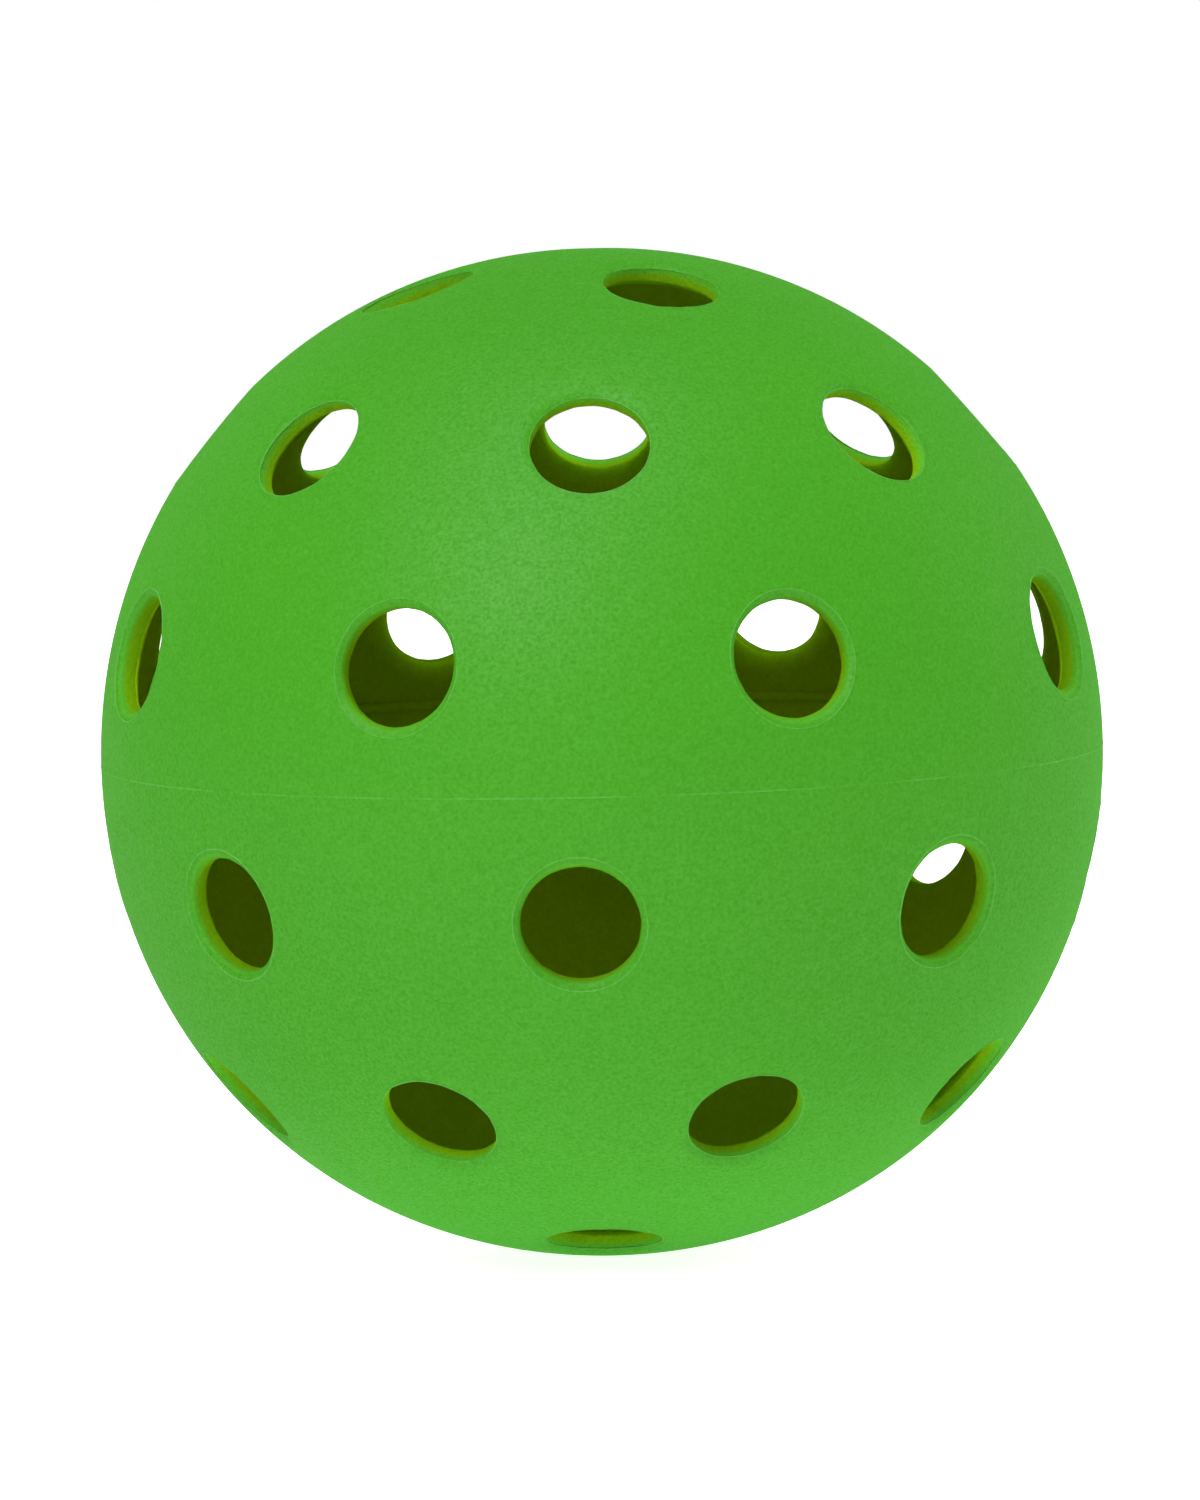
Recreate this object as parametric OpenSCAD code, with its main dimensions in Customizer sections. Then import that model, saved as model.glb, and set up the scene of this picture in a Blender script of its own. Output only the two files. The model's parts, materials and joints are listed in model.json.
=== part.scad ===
// Hollow perforated ball: two moulded half shells, welded together at the equator.
// The ball's centre is the origin. Z runs through the poles of the two halves, and the seam's
// outer line lies in the plane Z = 0.

/* [Ball] */
// Outside diameter of the ball
ball_d = 74; // [72:0.1:76]
// Wall thickness of both half shells
wall = 1.9; // [1.6:0.1:2.2]

/* [Holes] */
// Bore of a hole at its narrowest, the neck
hole_d = 8.3; // [7:0.1:9]
// Low ring: width of the rim, from the neck out to its edge line on the skin
rim_w = 0.5; // [0.3:0.05:0.6]
// Low ring: radius of the round that runs from that line into the neck
rim_round = 0.7; // [0.65:0.05:0.9]
// Low ring: angle at which a hole widens from its rim to the inner skin
low_flare = 5; // [2:1:10]
// Middle and top rings: width of the soft shoulder between the skin and the neck's edge
shoulder_w = 0.65; // [0.5:0.05:0.8]
// Middle and top rings: depth of the neck's edge below the shoulder's outer end
shoulder_drop = 0.22; // [0.2:0.01:0.3]
// Middle and top rings: radius of the shoulder
shoulder_round = 1; // [0.9:0.05:1.2]
// Middle and top rings: length of the neck's straight wall
neck_l = 1.05; // [0.8:0.05:1.2]
// Middle and top rings: angle at which a hole widens from its neck to the inner skin
high_flare = 40; // [20:1:45]

/* [Rings of holes] */
// Holes in the ring next to the seam
low_count = 8; // [6:1:8]
// Angle of that ring above the seam
low_lat = 14.1; // [13:0.1:15]
// Holes in the middle ring
mid_count = 8; // [6:1:8]
// Angle of that ring above the seam
mid_lat = 40.3; // [39:0.1:42]
// Holes in the ring around the pole
top_count = 4; // [3:1:4]
// Angle of that ring above the seam
top_lat = 68.7; // [67:0.1:71]
// Turn about the poles of the lower half against the upper one
clocking = 20.4; // [0:0.1:45]

/* [Seam] */
// Height of the step in the lap joint
lap_h = 1.3; // [0.8:0.1:2]
// Thickness of the weld between the two halves
weld_t = 0.15; // [0.1:0.01:0.2]
// Width of the weld's line on the skin
line_w = 0.22; // [0.18:0.01:0.3]
// Height of that line above the skin
line_h = 0.04; // [0.02:0.01:0.08]
// Radius of the weld's bead on the inside
bead_r = 0.4; // [0.2:0.05:0.5]

/* [Hidden] */
$fn = 96;

skin_color = [0.31, 0.65, 0.17];
weld_color = [0.40, 0.73, 0.27];

skin_r = ball_d / 2;
inner_r = skin_r - wall;
hole_r = hole_d / 2;

// Middle and top rings: the shoulder starts on the skin at shoulder_r and ends on the neck's edge
shoulder_r = hole_r + shoulder_w;
neck_top = sqrt(pow(skin_r, 2) - pow(shoulder_r, 2)) - shoulder_drop;
neck_end = neck_top - neck_l;
shoulder_chord = norm([shoulder_w, shoulder_drop]);
shoulder_lift = sqrt(pow(shoulder_round, 2) - pow(shoulder_chord / 2, 2));
shoulder_ring_r = hole_r + shoulder_w / 2 + shoulder_lift * shoulder_drop / shoulder_chord;
shoulder_ring_z = neck_top + shoulder_drop / 2 - shoulder_lift * shoulder_w / shoulder_chord;

// Low ring: the round starts on the skin at rim_r and runs smoothly into the neck at rim_ring_z
rim_r = hole_r + rim_w;
rim_ring_r = hole_r + rim_round;
rim_ring_z = sqrt(pow(skin_r, 2) - pow(rim_r, 2))
    - sqrt(pow(rim_round, 2) - pow(rim_round - rim_w, 2));

// The step of the lap joint lies in the middle of the wall
step_r = skin_r - wall / 2;
// Radius of the rod whose crown is the weld's line on the skin
line_r = (pow(line_w / 2, 2) + pow(line_h, 2)) / (2 * line_h);
// Radius of the inner skin at the top of the step
bead_ring_r = sqrt(pow(inner_r, 2) - pow(lap_h, 2));

// Tool that cuts one hole, along Z from the ball's centre. Its rim is rounded over a rod of radius
// rod_r, bent into a ring of radius ring_r at the height ring_z, out to the radius edge_r. From the
// height flare_z inwards the hole widens at the angle flare.
module hole_tool(edge_r, ring_r, ring_z, rod_r, flare_z, flare) {
    inside = inner_r - wall;
    outside = skin_r + wall;
    translate([0, 0, inside])
        cylinder(r = hole_r, h = outside - inside);
    // Flare towards the inner skin
    translate([0, 0, inside])
        cylinder(r1 = hole_r + (flare_z - inside) * tan(flare), r2 = hole_r, h = flare_z - inside);
    // Rounded rim
    translate([0, 0, ring_z])
        difference() {
            cylinder(r = edge_r, h = outside - ring_z);
            ring_rod(ring_r, rod_r);
        }
}

// Hole of the low ring, whose rim ends in a line on the skin
module low_hole() {
    hole_tool(rim_ring_r, rim_ring_r, rim_ring_z, rim_round, rim_ring_z, low_flare);
}

// Hole of the middle and top rings, whose shoulder ends in an edge on the neck
module high_hole() {
    hole_tool(shoulder_r + 0.05, shoulder_ring_r, shoulder_ring_z, shoulder_round, neck_end,
        high_flare);
}

// Round rod of radius rod_r bent into a ring of radius ring_r
module ring_rod(ring_r, rod_r) {
    rotate_extrude()
        translate([ring_r, 0])
            circle(r = rod_r);
}

// A ring of tools, the first one turned away from -Y
module hole_ring(count, lat, turn) {
    for (k = [0 : count - 1])
        rotate([0, 0, turn + 360 * k / count])
            rotate([90 - lat, 0, 0])
                children();
}

// Tools for all the holes of one half, staggered from ring to ring
module half_holes() {
    half_pitch = 180 / low_count;
    hole_ring(low_count, low_lat, half_pitch) low_hole();
    hole_ring(mid_count, mid_lat, 0) high_hole();
    hole_ring(top_count, top_lat, half_pitch) high_hole();
}

// The whole wall of the ball, with no holes
module ball_wall() {
    difference() {
        sphere(r = skin_r);
        sphere(r = inner_r);
    }
}

// All that lies below the step of the lap joint
module below_step() {
    translate([0, 0, -ball_d])
        cylinder(r = ball_d, h = ball_d);
    cylinder(r = step_r, h = lap_h);
}

// The weld: a stepped film through the wall, the line on the skin and the bead inside
module weld() {
    half_t = weld_t / 2;
    intersection() {
        ball_wall();
        rotate_extrude()
            polygon([
                [step_r - half_t, -half_t],
                [ball_d, -half_t],
                [ball_d, half_t],
                [step_r + half_t, half_t],
                [step_r + half_t, lap_h + half_t],
                [0, lap_h + half_t],
                [0, lap_h - half_t],
                [step_r - half_t, lap_h - half_t]
            ]);
    }
    ring_rod(skin_r + line_h - line_r, line_r);
    translate([0, 0, lap_h])
        ring_rod(bead_ring_r, bead_r);
}

module upper_half() {
    color(skin_color)
        difference() {
            ball_wall();
            below_step();
            weld();
            half_holes();
        }
}

module lower_half() {
    color(skin_color)
        difference() {
            intersection() {
                ball_wall();
                below_step();
            }
            weld();
            rotate([180, 0, clocking])
                half_holes();
        }
}

module weld_seam() {
    color(weld_color)
        weld();
}

upper_half();
lower_half();
weld_seam();
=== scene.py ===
import json
import math
from collections import namedtuple

import bmesh
import bpy
from bpy.props import FloatProperty, FloatVectorProperty, PointerProperty
from mathutils import Matrix, Vector


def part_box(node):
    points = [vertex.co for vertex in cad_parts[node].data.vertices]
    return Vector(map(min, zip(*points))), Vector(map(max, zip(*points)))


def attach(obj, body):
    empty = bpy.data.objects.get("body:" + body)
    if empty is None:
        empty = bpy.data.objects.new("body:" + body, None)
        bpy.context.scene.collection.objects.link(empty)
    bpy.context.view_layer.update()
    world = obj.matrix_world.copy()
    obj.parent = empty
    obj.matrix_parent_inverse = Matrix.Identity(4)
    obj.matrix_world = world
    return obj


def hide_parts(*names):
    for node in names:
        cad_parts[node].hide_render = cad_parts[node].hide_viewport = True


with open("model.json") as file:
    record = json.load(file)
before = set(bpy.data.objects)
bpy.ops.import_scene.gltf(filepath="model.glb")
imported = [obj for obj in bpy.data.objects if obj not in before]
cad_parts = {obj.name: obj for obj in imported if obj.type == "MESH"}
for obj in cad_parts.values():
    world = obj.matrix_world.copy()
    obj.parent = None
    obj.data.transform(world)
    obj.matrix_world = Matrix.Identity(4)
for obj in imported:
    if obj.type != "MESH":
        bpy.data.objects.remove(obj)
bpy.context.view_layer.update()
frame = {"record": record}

bl_info = {
    "name": "Perforated Ball",
    "version": (1, 0, 0),
    "blender": (4, 5, 0),
    "location": "3D View > Sidebar > Ball",
    "description": "Models and stages a hollow perforated ball of two welded half shells",
    "category": "Object",
}

MILLIMETRE = 0.001

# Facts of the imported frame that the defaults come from
SKIN_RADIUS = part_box("upper_half")[1].z
MOUNTS = {mount["name"]: mount for mount in frame["record"]["mounts"]}
HOLE_DIMS = MOUNTS["upper_cord_hole"]["dims"]
POLE_RING_AXIS = Vector(MOUNTS["upper_cord_hole"]["axis"])

# How finely the pieces are divided
SKIN_SEGMENTS = 192
SKIN_RINGS = 112
INNER_RINGS = 56
HOLE_SIDES = 96
ROUND_STEPS = 8
WELD_STEPS = 1080
CROWN_STEPS = 6
BEAD_STEPS = 20
MERGE_DISTANCE = 1e-7
SHARP_ANGLE = math.radians(14)

HOLES_PER_RING = {"low": 8, "mid": 8, "top": 4}

# Places of the plastics in a half shell's material slots, whose colours below the skin and on the
# fine lines are painted light and shade
SKIN_SLOT, NECK_LIGHT_AND_SHADE_SLOT, LIP_GLOW_SLOT, LINE_GLINT_SLOT = range(4)

# Upright part of a tool face's normal, past which the face belongs to a high hole's shoulder or to
# the round at a low hole's inner end, which carries the painted glow in the upper half
SHOULDER_SLOPE = -0.5
LIP_GLOW_SLOPE = 0.25

# Sizes of the features in the patterns that unsettle the rims and the fine lines
RIM_WAVER_GRAIN = 1.1 * MILLIMETRE
LINE_SWELL_GRAIN = 4 * MILLIMETRE
# The same for the weld's line: pattern, size of its features and share of the line's waver
WELD_SWELLS = (("slow_swell", 5 * MILLIMETRE, 0.75), ("fine_swell", 0.6 * MILLIMETRE, 0.45))

# Weight of the coat that gives the outer skin its sheen; the hole walls and the inside are dull
SKIN_GLOSS = 0.12
DULL = 0.0

# Moulded grain: how fine it and the slow mottle are, its depth, the range that holds nearly all of
# its heights, how far the mottle varies the colour, how far the grain's pits are darkened as
# painted shade, and how far the grain varies the sheen
PEBBLES_PER_METRE = 4000
MOTTLES_PER_METRE = 90
GRAIN_DEPTH = 0.06 * MILLIMETRE
GRAIN_HEIGHTS = (0.3, 0.7)
MOTTLE_SHADES = (0.97, 1.03)
GRAIN_PIT_PAINTED_SHADE = (0.935, 1.065)
GRAIN_SHEEN = (0.4, 1.6)

# Stage: width of the floor in metres, and the glow of floor and world for other rays and where seen
FLOOR_SIZE = 40
FLOOR_LIT, FLOOR_SEEN = 0.26, 0.87
WORLD_LIT, WORLD_SEEN = 0.15, 1.0
# Distance of the soft lights in metres, and of the table light as a share of the skin's radius
LAMP_DISTANCE = 0.9
TABLE_LIGHT_DROP = 0.998
SENSOR_WIDTH = 36

# One oval of a hole: its height on the hole's axis, its half widths across and along the meridian,
# its shift towards the pole, and its tilt, which lowers the side towards the pole
Oval = namedtuple("Oval", "height across along shift tilt")


def length(name, description, millimetres):
    """A length property with its default in millimetres."""
    return FloatProperty(
        name=name,
        description=description,
        default=millimetres * MILLIMETRE,
        unit="LENGTH",
        precision=5,
    )


def angle(name, description, degrees):
    """An angle property with its default in degrees."""
    return FloatProperty(
        name=name, description=description, default=math.radians(degrees), subtype="ANGLE"
    )


def colour(name, description, value):
    """A colour property with its default as linear values."""
    return FloatVectorProperty(
        name=name, description=description, default=value, subtype="COLOR"
    )


class BallSizes(bpy.types.PropertyGroup):
    """Sizes of the ball, its holes and its seam."""

    skin_radius: length("Skin radius", "Radius of the outer skin", SKIN_RADIUS / MILLIMETRE)
    wall: length("Wall", "Thickness of the half shells", 1.9)
    waist: length("Waist", "How far the skin is drawn in at the seam, and out near the poles", 0.16)
    neck_radius: length("Neck radius", "Radius of a hole at its narrowest", HOLE_DIMS["r_mm"])
    neck_length: length("Neck length", "Straight wall of a high hole", HOLE_DIMS["length_mm"])

    rim_across: length("Rim across", "Low holes: half width of the rim's edge on the skin", 4.58)
    rim_along: length("Rim along", "Low holes: half length of that edge along the meridian", 4.95)
    rim_shift: length("Rim shift", "Low holes: shift of that edge towards the seam", 0.16)
    rim_drop: length("Rim drop", "Low holes: depth of the round from the edge to the neck", 0.67)
    low_lean: angle("Low lean", "Low holes: lean of the bore towards the pole", 3.7)
    low_flare: angle("Low flare", "Low holes: widening of the bore inwards", 5)

    neck_across: length("Neck edge across", "High holes: half width of the neck's edge", 4.2)
    neck_along: length("Neck edge along", "High holes: half length of that edge", 4.32)
    neck_shift: length("Neck edge shift", "High holes: shift of that edge to the seam", 0.18)
    neck_depth: length("Neck edge depth", "High holes: depth of that edge below the skin", 0.22)
    neck_tilt: angle("Neck edge tilt", "High holes: tilt of that edge, lower at the pole", 2.2)
    shoulder_across: length("Shoulder across", "High holes: half width of the soft shoulder", 4.7)
    shoulder_along: length("Shoulder along", "High holes: half length of the shoulder", 4.98)
    shoulder_shift: length("Shoulder shift", "High holes: shift of the shoulder to the pole", 0.22)
    inner_round: length("Inner round", "Width of the round where a hole meets the inner skin", 2.0)

    line_radius: length("Line radius", "Mean radius of the fine lines around the holes", 0.045)
    line_sink: length("Line sink", "Depth of those lines' middle below the skin", 0.012)
    line_swell: length("Line swell", "How far their radius varies along the way", 0.09)
    waver: length("Waver", "How far rims and lines stray from true ovals", 0.08)

    low_latitude: angle("Low ring", "Angle above the seam of the ring of holes next to it", 14.1)
    mid_latitude: angle("Middle ring", "Angle above the seam of the middle ring of holes", 40.3)
    top_latitude: angle(
        "Top ring",
        "Angle above the seam of the ring of holes around the pole",
        math.degrees(math.asin(POLE_RING_AXIS.z)),
    )
    clocking: angle("Clocking", "Turn of the lower half against the upper one", 20.3)

    lap_height: length("Lap height", "Height of the step where the halves lap", 1.3)
    weld_gap: length("Weld gap", "Thickness of the weld between the halves", 0.15)
    crown_height: length("Crown height", "Mean height of the weld's line above the skin", 0.02)
    crown_waver: length("Crown waver", "How far that height strays along the seam", 0.08)
    bead_radius: length("Bead radius", "Radius of the weld's bead inside the ball", 0.4)


class BallColours(bpy.types.PropertyGroup):
    """Colours of the plastic and of the floor, as linear values.

    All the plastic's colours but the skin's green are painted light and shade.
    """

    skin: colour("Skin", "Green of the outer skin", (0.063, 0.37, 0.012))
    # Painted light: lighter green where a low hole's rim goes down into shade
    rim: colour("Rim", "Lighter green just inside a low hole's edge", (0.1, 0.43, 0.022))
    # Painted light and shade: the olive cast of shade, on a green lighter than the skin's
    bore: colour("Bore", "Olive green of the low holes' walls", (0.2, 0.45, 0.005))
    # Painted light: lighter green at the neck's edge, where it lies in shade
    neck_rim_painted_light: colour("Neck rim", "Lighter green at a high hole's neck", (0.16, 0.62, 0.034))
    # Painted light and shade: the olive cast of shade, on a green lighter than the skin's
    neck: colour("Neck", "Olive green of the high holes' walls", (0.26, 0.56, 0.006))
    # Painted shade: the olive cast of the shaded inner skin
    inside: colour("Inside", "Olive of the inner skin", (0.235, 0.355, 0.001))
    # Painted light: a glow on the round where light falls in through the hole
    lip_painted_glow: colour("Lip", "Lighter olive where a low hole meets the inner skin", (0.46, 0.8, 0.005))
    # Painted glint: the fine lines are paler than the skin
    line: colour("Line", "Pale green of the fine lines at rims and seam", (0.115, 0.46, 0.05))
    floor: colour("Floor", "White of the floor", (0.9, 0.9, 0.9))


class PhotoView(bpy.types.PropertyGroup):
    """Where the camera stands, as seen from the ball's centre."""

    distance: length("Distance", "From the ball's centre to the camera", 457.7)
    azimuth: angle("Azimuth", "Turn of the camera to the right of the front", 0.668)
    elevation: angle("Elevation", "Angle of the camera above the seam", 4.864)
    roll: angle("Roll", "Clockwise lean of the camera", 1.4135)
    lens: FloatProperty(
        name="Lens",
        description="Focal length on a sensor 36 mm along the long side",
        default=148.95,
        unit="CAMERA",
    )
    shift: FloatVectorProperty(
        name="Shift",
        description="Shift of the lens right and up, as a share of the sensor's long side",
        size=2,
        default=(-0.0013, 0.0009),
    )


# Shared steps of modelling

def select_only(*pieces):
    """Select these objects and no others, with the first one active."""
    bpy.ops.object.select_all(action="DESELECT")
    for piece in pieces:
        piece.select_set(True)
    bpy.context.view_layer.objects.active = pieces[0]


def select_rims():
    """In edit mode, select the open edges of the mesh."""
    bpy.ops.mesh.select_mode(type="EDGE")
    bpy.ops.mesh.select_all(action="DESELECT")
    bpy.ops.mesh.select_non_manifold(
        extend=False,
        use_wire=False,
        use_boundary=True,
        use_multi_face=False,
        use_non_contiguous=False,
        use_verts=False,
    )


def face_outwards():
    """In edit mode, turn all faces of a closed mesh outwards."""
    bpy.ops.mesh.select_all(action="SELECT")
    bpy.ops.mesh.normals_make_consistent(inside=False)


def arc(radius, start, end, steps, centre=(0, 0)):
    """Points of an arc about centre; the angles count from the radius axis towards Z."""
    turns = [start + (end - start) * i / steps for i in range(steps + 1)]
    return [
        (centre[0] + radius * math.cos(t), centre[1] + radius * math.sin(t))
        for t in turns
    ]


def combine(piece, tool, operation):
    """Cut a tool out of a piece or join it on, and remove the tool."""
    select_only(piece)
    modifier = piece.modifiers.new("combine", "BOOLEAN")
    modifier.operation = operation
    modifier.solver = "MANIFOLD"
    modifier.object = tool
    bpy.ops.object.modifier_apply(modifier=modifier.name)
    bpy.data.objects.remove(tool)


def cloud_texture(name, grain, kind):
    """A cloud pattern with features of about this size, in grey or in colour."""
    clouds = bpy.data.textures.get(name) or bpy.data.textures.new(name, "CLOUDS")
    clouds.noise_scale = grain
    clouds.noise_depth = 2
    clouds.cloud_type = kind
    return clouds


def displace(piece, texture, amount, direction, group=""):
    """Move a piece's vertices by a cloud pattern, as far as amount from end to end."""
    select_only(piece)
    modifier = piece.modifiers.new("displace", "DISPLACE")
    modifier.texture = texture
    modifier.texture_coords = "LOCAL"
    modifier.direction = direction
    modifier.strength = amount
    modifier.mid_level = 0.5
    modifier.vertex_group = group
    bpy.ops.object.modifier_apply(modifier=modifier.name)


def waver(piece, sizes):
    """Let rims and lines stray a little, in the same way wherever they meet."""
    ragged = cloud_texture("rim_waver", RIM_WAVER_GRAIN, "COLOR")
    displace(piece, ragged, sizes.waver, "RGB_TO_XYZ")


def spread(original, places):
    """Copy an object to each of these places, join the copies and drop the original."""
    copies = []
    for place in places:
        select_only(original)
        bpy.ops.object.duplicate()
        copy = bpy.context.object
        copy.matrix_world = place
        copies.append(copy)
    bpy.data.objects.remove(original)
    select_only(*copies)
    bpy.ops.object.join()
    bpy.ops.object.transform_apply(location=True, rotation=True, scale=True)
    return bpy.context.object


def join_all(pieces):
    """Join several objects into the first one."""
    select_only(*pieces)
    bpy.ops.object.join()
    return bpy.context.object


def pinch(piece, sizes):
    """Draw a piece in at the seam and out at 60 degrees of latitude, as the moulding shrank."""
    share = sizes.waist / sizes.skin_radius
    for vertex in piece.data.vertices:
        latitude = math.atan2(vertex.co.z, vertex.co.to_2d().length)
        vertex.co *= 1 - share * math.cos(3 * latitude)


def set_materials(piece, materials, slot=0):
    """Fill a piece's material slots in this order, and put all its faces in one of them."""
    piece.data.materials.clear()
    for material in materials:
        piece.data.materials.append(material)
    for face in piece.data.polygons:
        face.material_index = slot


def finish_piece(piece, node):
    """Shade a finished piece, give it its body and hide the CAD node that it replaces."""
    select_only(piece)
    bpy.ops.object.shade_smooth_by_angle(angle=SHARP_ANGLE)
    modifier = piece.modifiers.new("even_normals", "WEIGHTED_NORMAL")
    modifier.keep_sharp = True
    bpy.ops.object.modifier_apply(modifier=modifier.name)
    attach(piece, "root")
    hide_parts(node)


# Holes

def sphere_height(sphere, radius):
    """Height of a sphere of this radius above its centre, at a distance from the axis."""
    return math.sqrt(sphere**2 - radius**2)


def skin_height(sizes, radius):
    """Height of the skin above the ball's centre, at this distance from a hole's axis."""
    return sphere_height(sizes.skin_radius, radius)


def inner_ovals(sizes, radius, height, lean):
    """A hole's inner end from inside outwards: a round from the inner skin up to its bore.

    The bore starts at this radius and height, and lean is its shift for each step down.
    """
    inner_skin = sizes.skin_radius - sizes.wall
    rise = height - sphere_height(inner_skin, radius)
    # The tool starts inside the ball, straight below the round's outer end
    sides = [(radius + sizes.inner_round, inner_skin - sizes.wall)]
    for i in range(ROUND_STEPS + 1):
        turn = math.pi / 2 * (1 - i / ROUND_STEPS)
        side = radius + sizes.inner_round * (1 - math.cos(turn))
        level = sphere_height(inner_skin, side) + rise * (1 - math.sin(turn))
        sides.append((side, level))
    return [
        Oval(level, side, side, (sizes.skin_radius - level) * lean, 0) for side, level in sides
    ]


def low_ovals(sizes):
    """A low hole from inside outwards: leaning bore, round rim, edge on the skin."""
    edge_height = skin_height(sizes, (sizes.rim_across + sizes.rim_along) / 2)
    neck_top = edge_height - sizes.rim_drop
    lean = math.tan(sizes.low_lean)
    bore_end = neck_top - sizes.rim_drop
    bore_radius = sizes.neck_radius + (neck_top - bore_end) * math.tan(sizes.low_flare)
    ovals = inner_ovals(sizes, bore_radius, bore_end, lean)
    # The round reaches the edge's oval at four fifths of its quarter turn and goes on past it
    edge_turn = 0.8 * math.pi / 2
    for i in range(ROUND_STEPS + 1):
        turn = math.pi / 2 * i / ROUND_STEPS
        out = (1 - math.cos(turn)) / (1 - math.cos(edge_turn))
        height = neck_top + sizes.rim_drop * math.sin(turn) / math.sin(edge_turn)
        ovals.append(
            Oval(
                height,
                sizes.neck_radius + (sizes.rim_across - sizes.neck_radius) * out,
                sizes.neck_radius + (sizes.rim_along - sizes.neck_radius) * out,
                (sizes.skin_radius - height) * lean - sizes.rim_shift * out,
                0,
            )
        )
    ovals.append(ovals[-1]._replace(height=sizes.skin_radius + sizes.wall))
    return ovals


def high_ovals(sizes):
    """A middle or top hole from inside outwards: round inner edge, neck, soft shoulder."""
    edge = neck_edge(sizes)
    neck_end = edge.height - sizes.neck_length
    # The shoulder ends on the skin, whose height differs a little from the pole side to the seam's
    pole_end = skin_height(sizes, sizes.shoulder_along + sizes.shoulder_shift)
    seam_end = skin_height(sizes, sizes.shoulder_along - sizes.shoulder_shift)
    end = Oval(
        (pole_end + seam_end) / 2,
        sizes.shoulder_across,
        sizes.shoulder_along,
        sizes.shoulder_shift,
        math.atan2(seam_end - pole_end, 2 * sizes.shoulder_along),
    )
    ovals = [*inner_ovals(sizes, sizes.neck_radius, neck_end, 0), edge]
    # The shoulder is the upper part of a quarter turn, from this angle to its crest
    start = math.radians(35)
    for i in range(1, ROUND_STEPS + 1):
        turn = start + (math.pi / 2 - start) * i / ROUND_STEPS
        out = 1 - math.cos(turn) / math.cos(start)
        up = (math.sin(turn) - math.sin(start)) / (1 - math.sin(start))
        ovals.append(
            Oval(
                edge.height + (end.height - edge.height) * up,
                edge.across + (end.across - edge.across) * out,
                edge.along + (end.along - edge.along) * out,
                edge.shift + (end.shift - edge.shift) * out,
                edge.tilt + (end.tilt - edge.tilt) * up,
            )
        )
    # Past the skin the tool opens like a funnel
    rise = sizes.wall / 2
    ovals.append(
        end._replace(
            height=end.height + rise, across=end.across + rise, along=end.along + rise
        )
    )
    return ovals


def neck_edge(sizes):
    """Oval of the edge between a high hole's neck and its shoulder."""
    radius = (sizes.neck_across + sizes.neck_along) / 2
    height = skin_height(sizes, radius) - sizes.neck_depth
    return Oval(
        height, sizes.neck_across, sizes.neck_along, -sizes.neck_shift, sizes.neck_tilt
    )


def rim_edge(sizes):
    """Oval in which a low hole's round rim comes out through the skin."""
    ovals = low_ovals(sizes)
    reach = []
    for side in (
        lambda oval: oval.across,
        lambda oval: oval.along + oval.shift,
        lambda oval: oval.along - oval.shift,
    ):
        for under, over in zip(ovals[1:], ovals[2:]):
            depth = sizes.skin_radius - math.hypot(side(under), under.height)
            proud = math.hypot(side(over), over.height) - sizes.skin_radius
            if depth > 0 and proud >= 0:
                share = depth / (depth + proud)
                reach.append(side(under) + (side(over) - side(under)) * share)
                break
    across, pole_side, seam_side = reach
    along = (pole_side + seam_side) / 2
    shift = (pole_side - seam_side) / 2
    return Oval(skin_height(sizes, (across + along) / 2), across, along, shift, 0)


def hole_tool(ovals):
    """Solid of one hole: a disc raised along Z from oval to oval."""
    first = ovals[0]
    bpy.ops.object.select_all(action="DESELECT")
    bpy.ops.mesh.primitive_circle_add(
        vertices=HOLE_SIDES, radius=first.across, fill_type="NGON"
    )
    tool = bpy.context.object
    bpy.ops.object.mode_set(mode="EDIT")
    bpy.ops.mesh.select_all(action="SELECT")
    bpy.ops.transform.translate(value=(0, first.shift, first.height))
    for last, oval in zip(ovals, ovals[1:]):
        rise = (0, oval.shift - last.shift, oval.height - last.height)
        growth = (oval.across / last.across, oval.along / last.along, 1)
        centre = (0, oval.shift, oval.height)
        bpy.ops.mesh.extrude_region_move(TRANSFORM_OT_translate={"value": rise})
        bpy.ops.transform.resize(value=growth, center_override=centre)
        bpy.ops.transform.rotate(
            value=oval.tilt - last.tilt, orient_axis="X", center_override=centre
        )
    face_outwards()
    bpy.ops.object.mode_set(mode="OBJECT")
    return tool


def fine_line(oval, radius, sphere_radius=None):
    """Fine raised line along an oval, laid on a sphere if its radius is given."""
    bpy.ops.object.select_all(action="DESELECT")
    bpy.ops.mesh.primitive_circle_add(
        vertices=HOLE_SIDES, radius=oval.across, fill_type="NOTHING"
    )
    bpy.ops.object.mode_set(mode="EDIT")
    bpy.ops.mesh.select_all(action="SELECT")
    centre = (0, oval.shift, oval.height)
    bpy.ops.transform.resize(
        value=(1, oval.along / oval.across, 1), center_override=(0, 0, 0)
    )
    bpy.ops.transform.translate(value=centre)
    bpy.ops.transform.rotate(value=oval.tilt, orient_axis="X", center_override=centre)
    bpy.ops.object.mode_set(mode="OBJECT")
    line = bpy.context.object
    if sphere_radius:
        cast = line.modifiers.new("on_skin", "CAST")
        cast.cast_type = "SPHERE"
        cast.factor = 1
        cast.radius = 0
        cast.use_radius_as_size = False
        cast.size = sphere_radius
        bpy.ops.object.modifier_apply(modifier=cast.name)
    bpy.ops.object.convert(target="CURVE")
    curve = bpy.context.object.data
    curve.bevel_depth = radius
    curve.bevel_resolution = 1
    curve.fill_mode = "FULL"
    bpy.ops.object.convert(target="MESH")
    return bpy.context.object


# Half shells

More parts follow.
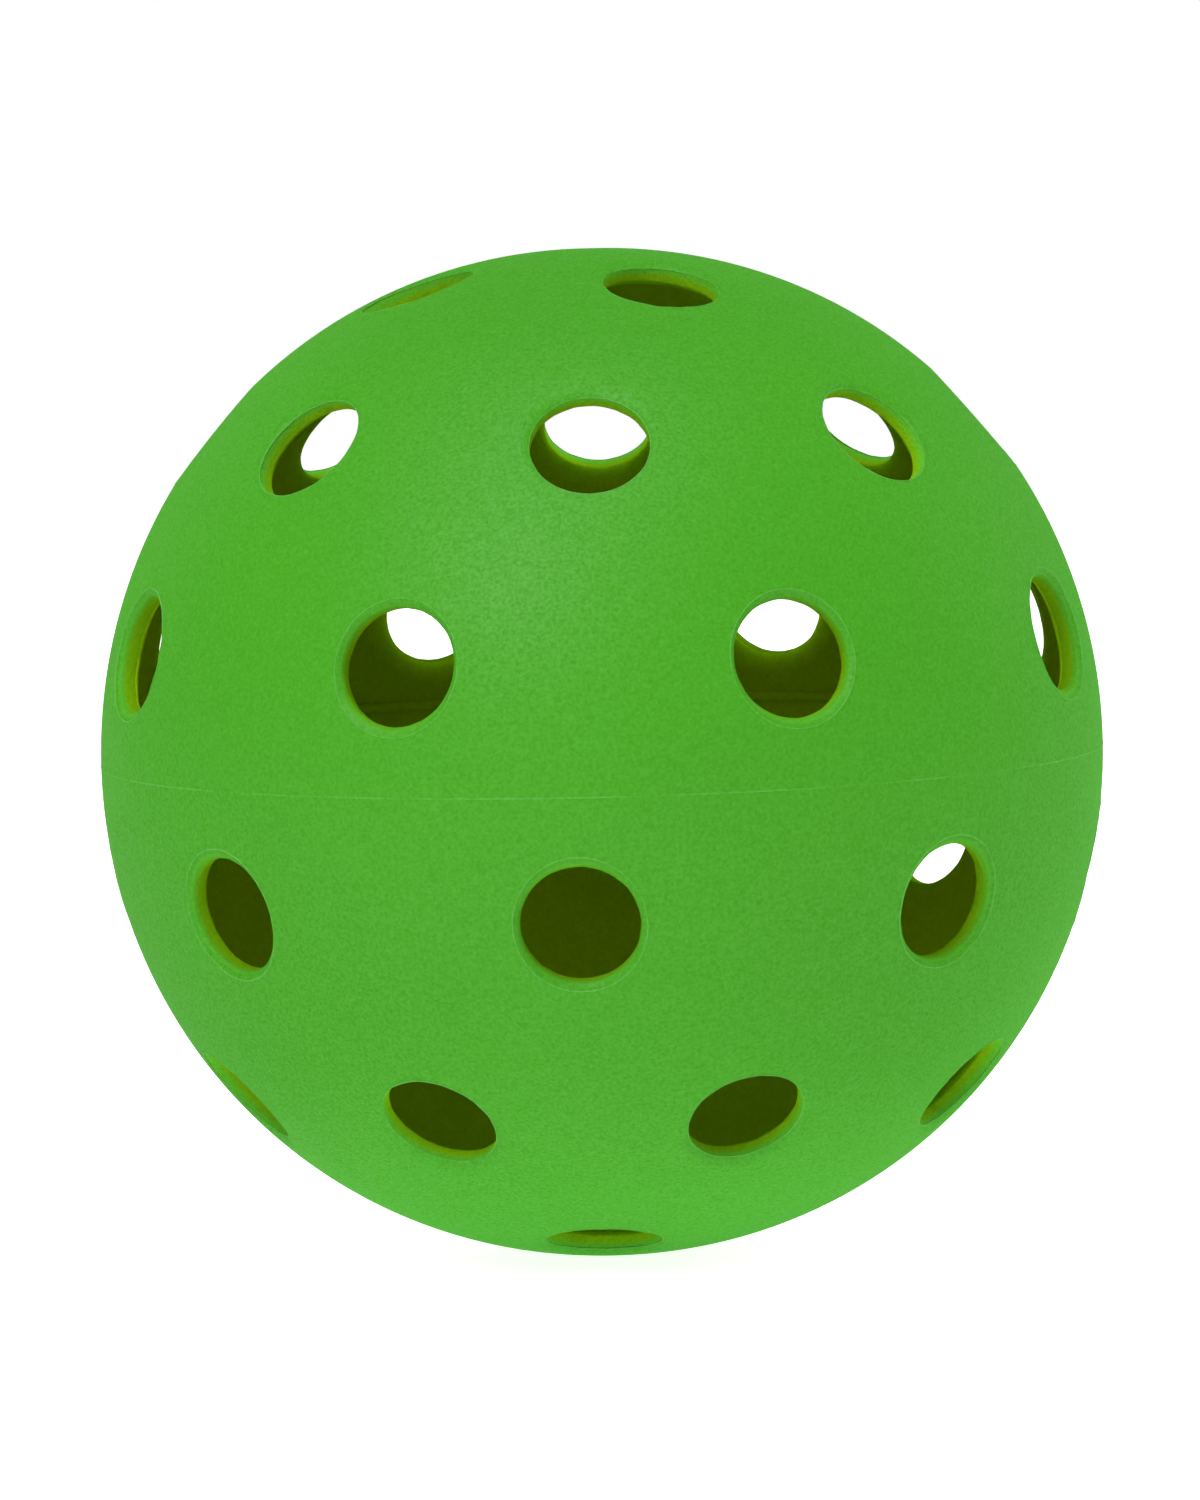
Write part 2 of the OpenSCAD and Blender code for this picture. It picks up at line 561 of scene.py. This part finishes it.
def hole_places(sizes, lower):
    """For each ring of one half, the matrices that stand a hole's axis, Z, on its places."""
    stagger = math.pi / HOLES_PER_RING["low"]
    rings = (
        ("low", sizes.low_latitude, stagger),
        ("mid", sizes.mid_latitude, 0),
        ("top", sizes.top_latitude, stagger),
    )
    half = Matrix.Identity(4)
    if lower:
        half = Matrix.Rotation(sizes.clocking, 4, "Z") @ Matrix.Rotation(math.pi, 4, "X")
    places = {}
    for ring, latitude, turn in rings:
        lean = Matrix.Rotation(math.pi / 2 - latitude, 4, "X")
        pitch = math.tau / HOLES_PER_RING[ring]
        places[ring] = [
            half @ Matrix.Rotation(turn + pitch * i, 4, "Z") @ lean
            for i in range(HOLES_PER_RING[ring])
        ]
    return places


def dome(name, radius, rings, cut_height, lower):
    """Thin skin of a sphere above or below a cut."""
    bpy.ops.object.select_all(action="DESELECT")
    bpy.ops.mesh.primitive_uv_sphere_add(
        segments=SKIN_SEGMENTS, ring_count=rings, radius=radius
    )
    skin = bpy.context.object
    skin.name = name
    bpy.ops.object.mode_set(mode="EDIT")
    bpy.ops.mesh.select_all(action="SELECT")
    bpy.ops.mesh.bisect(
        plane_co=(0, 0, cut_height),
        plane_no=(0, 0, -1 if lower else 1),
        clear_inner=True,
        threshold=MERGE_DISTANCE,
    )
    bpy.ops.object.mode_set(mode="OBJECT")
    return skin


def plain_half(sizes, name, lower):
    """One half shell with no holes: outer and inner skin, and the step of the lap joint."""
    gap = sizes.weld_gap / 2
    rim_height = -gap if lower else gap
    # The lower half's tongue stands in the upper half's rebate, a weld's thickness away
    clearance = -gap if lower else gap
    step_radius = sizes.skin_radius - sizes.wall / 2 + clearance
    inner_rim = sizes.lap_height + clearance
    shell = dome(name, sizes.skin_radius, SKIN_RINGS, rim_height, lower)
    bpy.ops.object.mode_set(mode="EDIT")
    select_rims()
    shrink = step_radius / skin_height(sizes, rim_height)
    bpy.ops.mesh.extrude_edges_move(TRANSFORM_OT_translate={"value": (0, 0, 0)})
    bpy.ops.transform.resize(value=(shrink, shrink, 1), center_override=(0, 0, rim_height))
    bpy.ops.mesh.extrude_edges_move(
        TRANSFORM_OT_translate={"value": (0, 0, inner_rim - rim_height)}
    )
    bpy.ops.object.mode_set(mode="OBJECT")
    inside = dome("inner_skin", sizes.skin_radius - sizes.wall, INNER_RINGS, inner_rim, lower)
    bpy.ops.object.mode_set(mode="EDIT")
    bpy.ops.mesh.select_all(action="SELECT")
    bpy.ops.mesh.flip_normals()
    bpy.ops.object.mode_set(mode="OBJECT")
    shell = join_all([shell, inside])
    bpy.ops.object.mode_set(mode="EDIT")
    select_rims()
    bpy.ops.mesh.bridge_edge_loops()
    face_outwards()
    bpy.ops.object.mode_set(mode="OBJECT")
    return shell


def half_shell(sizes, name, lower, materials):
    """One half shell with its holes and the fine lines around them."""
    shell = plain_half(sizes, name, lower)
    places = hole_places(sizes, lower)
    high_places = places["mid"] + places["top"]
    low_tool = hole_tool(low_ovals(sizes))
    set_materials(low_tool, materials, SKIN_SLOT)
    for face in low_tool.data.polygons:
        # The round at the inner end faces inwards, and only the upper half's is painted light, a
        # glow as if lit through its holes
        if face.normal.z > LIP_GLOW_SLOPE and not lower:
            face.material_index = LIP_GLOW_SLOT
    high_tool = hole_tool(high_ovals(sizes))
    set_materials(high_tool, materials, NECK_LIGHT_AND_SHADE_SLOT)
    for face in high_tool.data.polygons:
        # The shoulder is the part that opens steeply, and belongs to the skin
        if face.normal.z < SHOULDER_SLOPE:
            face.material_index = SKIN_SLOT
    tools = join_all([spread(low_tool, places["low"]), spread(high_tool, high_places)])
    line_bed = sizes.skin_radius - sizes.line_sink
    lines = join_all(
        [
            spread(fine_line(rim_edge(sizes), sizes.line_radius, line_bed), places["low"]),
            spread(fine_line(neck_edge(sizes), sizes.line_radius), high_places),
        ]
    )
    set_materials(shell, materials, SKIN_SLOT)
    set_materials(lines, materials, LINE_GLINT_SLOT)
    slow = cloud_texture("line_swell", LINE_SWELL_GRAIN, "GRAYSCALE")
    displace(lines, slow, sizes.line_swell, "NORMAL")
    for piece in (tools, lines):
        waver(piece, sizes)
    combine(shell, tools, "DIFFERENCE")
    combine(shell, lines, "UNION")
    return shell


# Weld

def weld_outline(sizes):
    """Cross-section of the weld: crown on the skin, stepped film and bead inside."""
    gap = sizes.weld_gap / 2
    inner = sizes.skin_radius - sizes.wall
    step = sizes.skin_radius - sizes.wall / 2
    crown_radius = (gap**2 + sizes.crown_height**2) / (2 * sizes.crown_height)
    crown_centre = (sizes.skin_radius + sizes.crown_height - crown_radius, 0)
    crown_turn = math.asin(gap / crown_radius)
    bead_centre = (sphere_height(inner, sizes.lap_height), sizes.lap_height)
    bead_turn = math.asin(gap / sizes.bead_radius)
    return [
        *arc(crown_radius, -crown_turn, crown_turn, CROWN_STEPS, crown_centre),
        (step + gap, gap),
        (step + gap, sizes.lap_height + gap),
        *arc(sizes.bead_radius, bead_turn, math.tau - bead_turn, BEAD_STEPS, bead_centre),
        (step - gap, sizes.lap_height - gap),
        (step - gap, -gap),
    ]


def spun_ring(name, outline, steps):
    """Draw a closed outline of (radius, height) points and spin it about Z."""
    bpy.ops.object.select_all(action="DESELECT")
    bpy.ops.mesh.primitive_plane_add(size=MILLIMETRE)
    ring = bpy.context.object
    ring.name = name
    bpy.ops.object.mode_set(mode="EDIT")
    bpy.ops.mesh.select_mode(type="VERT")
    bpy.ops.mesh.select_all(action="SELECT")
    bpy.ops.mesh.merge(type="CENTER")
    bpy.ops.transform.translate(value=(outline[0][0], 0, outline[0][1]))
    for last, point in zip(outline, outline[1:]):
        step = (point[0] - last[0], 0, point[1] - last[1])
        bpy.ops.mesh.extrude_vertices_move(TRANSFORM_OT_translate={"value": step})
    mesh = bmesh.from_edit_mesh(ring.data)
    for vertex in mesh.verts:
        vertex.select = len(vertex.link_edges) == 1
    mesh.select_flush_mode()
    bpy.ops.mesh.edge_face_add()
    bpy.ops.mesh.select_all(action="SELECT")
    bpy.ops.mesh.spin(steps=steps, angle=math.tau, center=(0, 0, 0), axis=(0, 0, 1))
    bpy.ops.mesh.select_all(action="SELECT")
    bpy.ops.mesh.remove_doubles(threshold=MERGE_DISTANCE)
    face_outwards()
    bpy.ops.object.mode_set(mode="OBJECT")
    return ring


def weld_ring(sizes):
    """The weld, with a line on the skin that comes and goes along the seam."""
    ring = spun_ring("weld_bead", weld_outline(sizes), WELD_STEPS)
    crown = ring.vertex_groups.new(name="crown")
    gap = sizes.weld_gap / 2
    # The crown's two ends, at the full gap, stay on the skin
    crest_height = 0.9 * gap
    crest = [
        vertex.index
        for vertex in ring.data.vertices
        if vertex.co.to_2d().length > sizes.skin_radius - gap and abs(vertex.co.z) < crest_height
    ]
    crown.add(crest, 1.0, "REPLACE")
    for name, grain, share in WELD_SWELLS:
        swell = cloud_texture(name, grain, "GRAYSCALE")
        displace(ring, swell, sizes.crown_waver * share, "NORMAL", crown.name)
    return ring


# Materials

def at_depth(sizes, share):
    """Distance from the ball's centre at this share of the wall below the skin."""
    return sizes.skin_radius - share * sizes.wall


def wall_painted_light_and_shade_layers(sizes, colours):
    """Layers through the wall: olive inside, olive green bore, lighter rim, green skin.

    All but the skin's green are painted light and shade.
    """
    return [
        (at_depth(sizes, 1), colours.inside, DULL),
        (at_depth(sizes, 0.7), colours.bore, DULL),
        (at_depth(sizes, 0.45), colours.bore, DULL),
        (at_depth(sizes, 0.31), colours.rim, DULL),
        (at_depth(sizes, 0.2), colours.rim, SKIN_GLOSS / 2),
        (at_depth(sizes, 0.13), colours.skin, SKIN_GLOSS),
    ]


def neck_painted_light_and_shade_layers(sizes, colours):
    """Layers in a high hole's neck, which keeps its lighter green up to the shoulder.

    The neck's olive and lighter greens are painted light and shade.
    """
    return [
        (at_depth(sizes, 1), colours.inside, DULL),
        (at_depth(sizes, 0.76), colours.neck, DULL),
        (at_depth(sizes, 0.46), colours.neck, DULL),
        (at_depth(sizes, 0.26), colours.neck_rim_painted_light, DULL),
        (at_depth(sizes, 0.13), colours.neck_rim_painted_light, SKIN_GLOSS / 2),
    ]


def lip_painted_glow_layers(sizes, colours):
    """Layers in the round at a low hole's inner end, which grows lighter towards the bore.

    The lighter olive is a painted glow, as if light fell in through the hole.
    """
    return [
        (at_depth(sizes, 1) - sizes.waist, colours.inside, DULL),
        (at_depth(sizes, 0.93), colours.lip_painted_glow, DULL),
    ]


def line_painted_glint_layers(sizes, colours):
    """The fine lines have one colour all through, a pale green that is a painted glint."""
    return [
        (at_depth(sizes, 1), colours.line, SKIN_GLOSS),
        (at_depth(sizes, 0), colours.line, SKIN_GLOSS),
    ]


def weld_painted_light_and_shade_layers(sizes, colours):
    """Layers of the wall, with their painted light and shade, and above the drawn-in skin the pale
    green of the weld's line, a painted glint.
    """
    waist_radius = sizes.skin_radius - sizes.waist
    return [
        *wall_painted_light_and_shade_layers(sizes, colours),
        (waist_radius, colours.skin, SKIN_GLOSS),
        (waist_radius + 2 * sizes.crown_height, colours.line, SKIN_GLOSS),
    ]


def new_material(name):
    """An empty node material with a Principled shader."""
    material = bpy.data.materials.new(name)
    material.use_nodes = True
    tree = material.node_tree
    tree.nodes.clear()
    output = tree.nodes.new("ShaderNodeOutputMaterial")
    shader = tree.nodes.new("ShaderNodeBsdfPrincipled")
    tree.links.new(shader.outputs["BSDF"], output.inputs["Surface"])
    return material, tree, shader


def remap(tree, value, target, source=(0, 1)):
    """A value, held to the source range and stretched to the target range."""
    node = tree.nodes.new("ShaderNodeMapRange")
    node.inputs["From Min"].default_value, node.inputs["From Max"].default_value = source
    node.inputs["To Min"].default_value, node.inputs["To Max"].default_value = target
    tree.links.new(value, node.inputs["Value"])
    return node.outputs["Result"]


def combined(tree, operation, first, second):
    """Two values joined by one step of arithmetic."""
    node = tree.nodes.new("ShaderNodeMath")
    node.operation = operation
    tree.links.new(first, node.inputs[0])
    tree.links.new(second, node.inputs[1])
    return node.outputs["Value"]


def grain_group():
    """Moulded surface: fine pebble grain and a slow mottle, over Object coordinates."""
    name = "moulded_grain"
    if name in bpy.data.node_groups:
        return bpy.data.node_groups[name]
    group = bpy.data.node_groups.new(name, "ShaderNodeTree")
    face = group.interface
    face.new_socket("Position", in_out="INPUT", socket_type="NodeSocketVector")
    face.new_socket("Pebbles per metre", in_out="INPUT", socket_type="NodeSocketFloat")
    face.new_socket("Height", in_out="OUTPUT", socket_type="NodeSocketFloat")
    face.new_socket("Mottle", in_out="OUTPUT", socket_type="NodeSocketFloat")
    nodes, links = group.nodes, group.links
    start = nodes.new("NodeGroupInput")
    end = nodes.new("NodeGroupOutput")
    pebble = nodes.new("ShaderNodeTexNoise")
    pebble.inputs["Detail"].default_value = 2.0
    pebble.inputs["Roughness"].default_value = 0.55
    links.new(start.outputs["Position"], pebble.inputs["Vector"])
    links.new(start.outputs["Pebbles per metre"], pebble.inputs["Scale"])
    links.new(pebble.outputs["Fac"], end.inputs["Height"])
    mottle = nodes.new("ShaderNodeTexNoise")
    mottle.inputs["Scale"].default_value = MOTTLES_PER_METRE
    mottle.inputs["Detail"].default_value = 3.0
    links.new(start.outputs["Position"], mottle.inputs["Vector"])
    links.new(mottle.outputs["Fac"], end.inputs["Mottle"])
    return group


def moulded_plastic(name, layers):
    """Satin moulded plastic whose colour and gloss change with the distance from the centre; the
    colour's change with depth is painted light and shade.

    The layers are (distance, colour, gloss) from inside outwards.
    """
    material, tree, shader = new_material(name)
    nodes, links = tree.nodes, tree.links
    place = nodes.new("ShaderNodeTexCoord")
    grain = nodes.new("ShaderNodeGroup")
    grain.node_tree = grain_group()
    grain.inputs["Pebbles per metre"].default_value = PEBBLES_PER_METRE
    links.new(place.outputs["Object"], grain.inputs["Position"])

    reach = nodes.new("ShaderNodeVectorMath")
    reach.operation = "LENGTH"
    links.new(place.outputs["Object"], reach.inputs[0])
    nearest, farthest = layers[0][0], layers[-1][0]
    # Colour by distance from the centre: the skin's green outside, painted light and shade below it
    ramp = nodes.new("ShaderNodeValToRGB")
    stops = ramp.color_ramp.elements
    while len(stops) < len(layers):
        stops.new(1.0)
    for stop, (distance, colour_there, gloss) in zip(stops, layers):
        stop.position = (distance - nearest) / (farthest - nearest)
        stop.color = (*colour_there, gloss)
    depth = remap(tree, reach.outputs["Value"], (0, 1), (nearest, farthest))
    links.new(depth, ramp.inputs["Fac"])
    # Painted shade: the pits of the grain are a little darker than its crests
    mottle = remap(tree, grain.outputs["Mottle"], MOTTLE_SHADES)
    pit_painted_shade = remap(tree, grain.outputs["Height"], GRAIN_PIT_PAINTED_SHADE, GRAIN_HEIGHTS)
    tint = nodes.new("ShaderNodeVectorMath")
    tint.operation = "SCALE"
    links.new(ramp.outputs["Color"], tint.inputs[0])
    links.new(combined(tree, "MULTIPLY", mottle, pit_painted_shade), tint.inputs["Scale"])
    links.new(tint.outputs["Vector"], shader.inputs["Base Color"])
    shader.inputs["Roughness"].default_value = 0.6

    # A thin dense coat in place of the plastic's own gloss, so that the outline pales less
    sparkle = remap(tree, grain.outputs["Height"], GRAIN_SHEEN, GRAIN_HEIGHTS)
    sheen = combined(tree, "MULTIPLY", ramp.outputs["Alpha"], sparkle)
    links.new(sheen, shader.inputs["Coat Weight"])
    shader.inputs["Coat Roughness"].default_value = 0.45
    shader.inputs["Coat IOR"].default_value = 2.2
    shader.inputs["Specular IOR Level"].default_value = 0.0

    bump = nodes.new("ShaderNodeBump")
    bump.inputs["Strength"].default_value = 1.0
    bump.inputs["Distance"].default_value = GRAIN_DEPTH
    links.new(grain.outputs["Height"], bump.inputs["Height"])
    links.new(bump.outputs["Normal"], shader.inputs["Normal"])
    return material


# Stage

def white_where_seen(tree, lit, seen):
    """Strength of a white glow: one where the camera, a gloss or glass sees it, one elsewhere."""
    path = tree.nodes.new("ShaderNodeLightPath")
    sight = path.outputs["Is Camera Ray"]
    for ray in ("Is Glossy Ray", "Is Transmission Ray"):
        sight = combined(tree, "MAXIMUM", sight, path.outputs[ray])
    return remap(tree, sight, (lit, seen))


def floor_material(white):
    """White floor that keeps the ball's shadow and lifts to white where it is seen."""
    material, tree, shader = new_material("white_floor")
    shader.inputs["Base Color"].default_value = (*white, 1)
    shader.inputs["Roughness"].default_value = 0.9
    shader.inputs["Specular IOR Level"].default_value = 0.0
    shader.inputs["Emission Color"].default_value = (1, 1, 1, 1)
    glow = white_where_seen(tree, FLOOR_LIT, FLOOR_SEEN)
    tree.links.new(glow, shader.inputs["Emission Strength"])
    return material


def outwards(azimuth, elevation):
    """Direction from the ball's centre, turned to the right of the front and lifted."""
    return Vector(
        (
            math.cos(elevation) * math.sin(azimuth),
            -math.cos(elevation) * math.cos(azimuth),
            math.sin(elevation),
        )
    )


def soft_box(name, azimuth, elevation, size, power, distance=LAMP_DISTANCE, shape="SQUARE"):
    """A soft light aimed at the ball, at these angles in degrees from its centre."""
    out = outwards(math.radians(azimuth), math.radians(elevation))
    light = bpy.data.lights.new(name, "AREA")
    light.shape = shape
    light.size = size
    light.energy = power
    lamp = bpy.data.objects.new(name, light)
    lamp.location = out * distance
    lamp.rotation_euler = out.to_track_quat("Z", "Y").to_euler()
    lamp.visible_camera = False
    bpy.context.scene.collection.objects.link(lamp)
    return lamp


class BALL_OT_make_halves(bpy.types.Operator):
    """Model the two half shells, with their holes, and dress them in moulded plastic"""

    bl_idname = "ball.make_halves"
    bl_label = "Make Half Shells"

    def execute(self, context):
        sizes = context.scene.ball_sizes
        colours = context.scene.ball_colours
        # The colours below the skin, the round's glow and the fine lines' pale green are painted
        # light and shade
        materials = [
            moulded_plastic("green_plastic_painted_light_and_shade", wall_painted_light_and_shade_layers(sizes, colours)),
            moulded_plastic("neck_plastic_painted_light_and_shade", neck_painted_light_and_shade_layers(sizes, colours)),
            moulded_plastic("lip_plastic_painted_glow", lip_painted_glow_layers(sizes, colours)),
            moulded_plastic("line_plastic_painted_glint", line_painted_glint_layers(sizes, colours)),
        ]
        for node, lower in (("upper_half", False), ("lower_half", True)):
            shell = half_shell(sizes, f"{node}_shell", lower, materials)
            pinch(shell, sizes)
            finish_piece(shell, node)
        return {"FINISHED"}


class BALL_OT_make_weld(bpy.types.Operator):
    """Model the weld between the halves, with its uneven line on the skin"""

    bl_idname = "ball.make_weld"
    bl_label = "Make Weld"

    def execute(self, context):
        sizes = context.scene.ball_sizes
        colours = context.scene.ball_colours
        weld = weld_ring(sizes)
        set_materials(weld, [moulded_plastic("weld_plastic_painted_light_and_shade", weld_painted_light_and_shade_layers(sizes, colours))])
        pinch(weld, sizes)
        finish_piece(weld, "weld_seam")
        return {"FINISHED"}


class BALL_OT_set_stage(bpy.types.Operator):
    """Set the white floor, the soft lights and the photograph's camera"""

    bl_idname = "ball.set_stage"
    bl_label = "Set Stage"

    def execute(self, context):
        scene = context.scene
        sizes = scene.ball_sizes
        bpy.ops.object.select_all(action="DESELECT")
        bpy.ops.mesh.primitive_plane_add(size=FLOOR_SIZE, location=(0, 0, -sizes.skin_radius))
        floor = context.object
        floor.name = "floor"
        floor.data.materials.append(floor_material(scene.ball_colours.floor))

        world = bpy.data.worlds.new("white_room")
        world.use_nodes = True
        ground = world.node_tree.nodes["Background"]
        ground.inputs["Color"].default_value = (1, 1, 1, 1)
        level = white_where_seen(world.node_tree, WORLD_LIT, WORLD_SEEN)
        world.node_tree.links.new(level, ground.inputs["Strength"])
        scene.world = world

        soft_box("key_light", azimuth=-22, elevation=35, size=0.4, power=2.35)
        soft_box("high_light", azimuth=-28, elevation=60, size=0.8, power=3.1)
        soft_box("top_light", azimuth=0, elevation=80, size=0.6, power=1.4)
        # The lights at the side and the back keep out of the gloss, which would pale the outline
        for light in (
            soft_box("right_light", azimuth=100, elevation=25, size=0.5, power=1.75),
            soft_box("right_back_light", azimuth=128, elevation=11, size=0.6, power=3.1),
            soft_box("left_back_light", azimuth=-140, elevation=15, size=0.6, power=3.2),
        ):
            light.visible_glossy = False
        # A round light lying on the floor, for the white of a table close under the ball
        soft_box(
            "table_light",
            azimuth=0,
            elevation=-90,
            size=0.07,
            power=0.0046,
            distance=TABLE_LIGHT_DROP * sizes.skin_radius,
            shape="DISK",
        )

        view = scene.ball_view
        out = outwards(view.azimuth, view.elevation)
        lens = bpy.data.cameras.new("photo_camera")
        lens.lens = view.lens
        lens.sensor_width = SENSOR_WIDTH
        lens.shift_x, lens.shift_y = view.shift
        camera = bpy.data.objects.new("photo_camera", lens)
        lean = Matrix.Rotation(-view.roll, 4, "Z")
        aim = out.to_track_quat("Z", "Y").to_matrix().to_4x4()
        camera.matrix_world = Matrix.Translation(out * view.distance) @ aim @ lean
        scene.collection.objects.link(camera)
        scene.camera = camera
        scene.view_settings.view_transform = "Standard"
        return {"FINISHED"}


class BALL_PT_panel(bpy.types.Panel):
    """Sizes, colours and steps of the ball"""

    bl_idname = "BALL_PT_panel"
    bl_label = "Perforated Ball"
    bl_space_type = "VIEW_3D"
    bl_region_type = "UI"
    bl_category = "Ball"

    def draw(self, context):
        layout = self.layout
        for operator in (BALL_OT_make_halves, BALL_OT_make_weld, BALL_OT_set_stage):
            layout.operator(operator.bl_idname)
        for group in ("ball_sizes", "ball_colours", "ball_view"):
            settings = getattr(context.scene, group)
            box = layout.box()
            for name in settings.__annotations__:
                box.prop(settings, name)


CLASSES = (
    BallSizes,
    BallColours,
    PhotoView,
    BALL_OT_make_halves,
    BALL_OT_make_weld,
    BALL_OT_set_stage,
    BALL_PT_panel,
)


def register():
    for cls in CLASSES:
        bpy.utils.register_class(cls)
    bpy.types.Scene.ball_sizes = PointerProperty(type=BallSizes)
    bpy.types.Scene.ball_colours = PointerProperty(type=BallColours)
    bpy.types.Scene.ball_view = PointerProperty(type=PhotoView)


def unregister():
    del bpy.types.Scene.ball_view
    del bpy.types.Scene.ball_colours
    del bpy.types.Scene.ball_sizes
    for cls in reversed(CLASSES):
        bpy.utils.unregister_class(cls)


def main():
    register()
    bpy.ops.ball.make_halves()
    bpy.ops.ball.make_weld()
    bpy.ops.ball.set_stage()


if __name__ == "__main__":
    main()
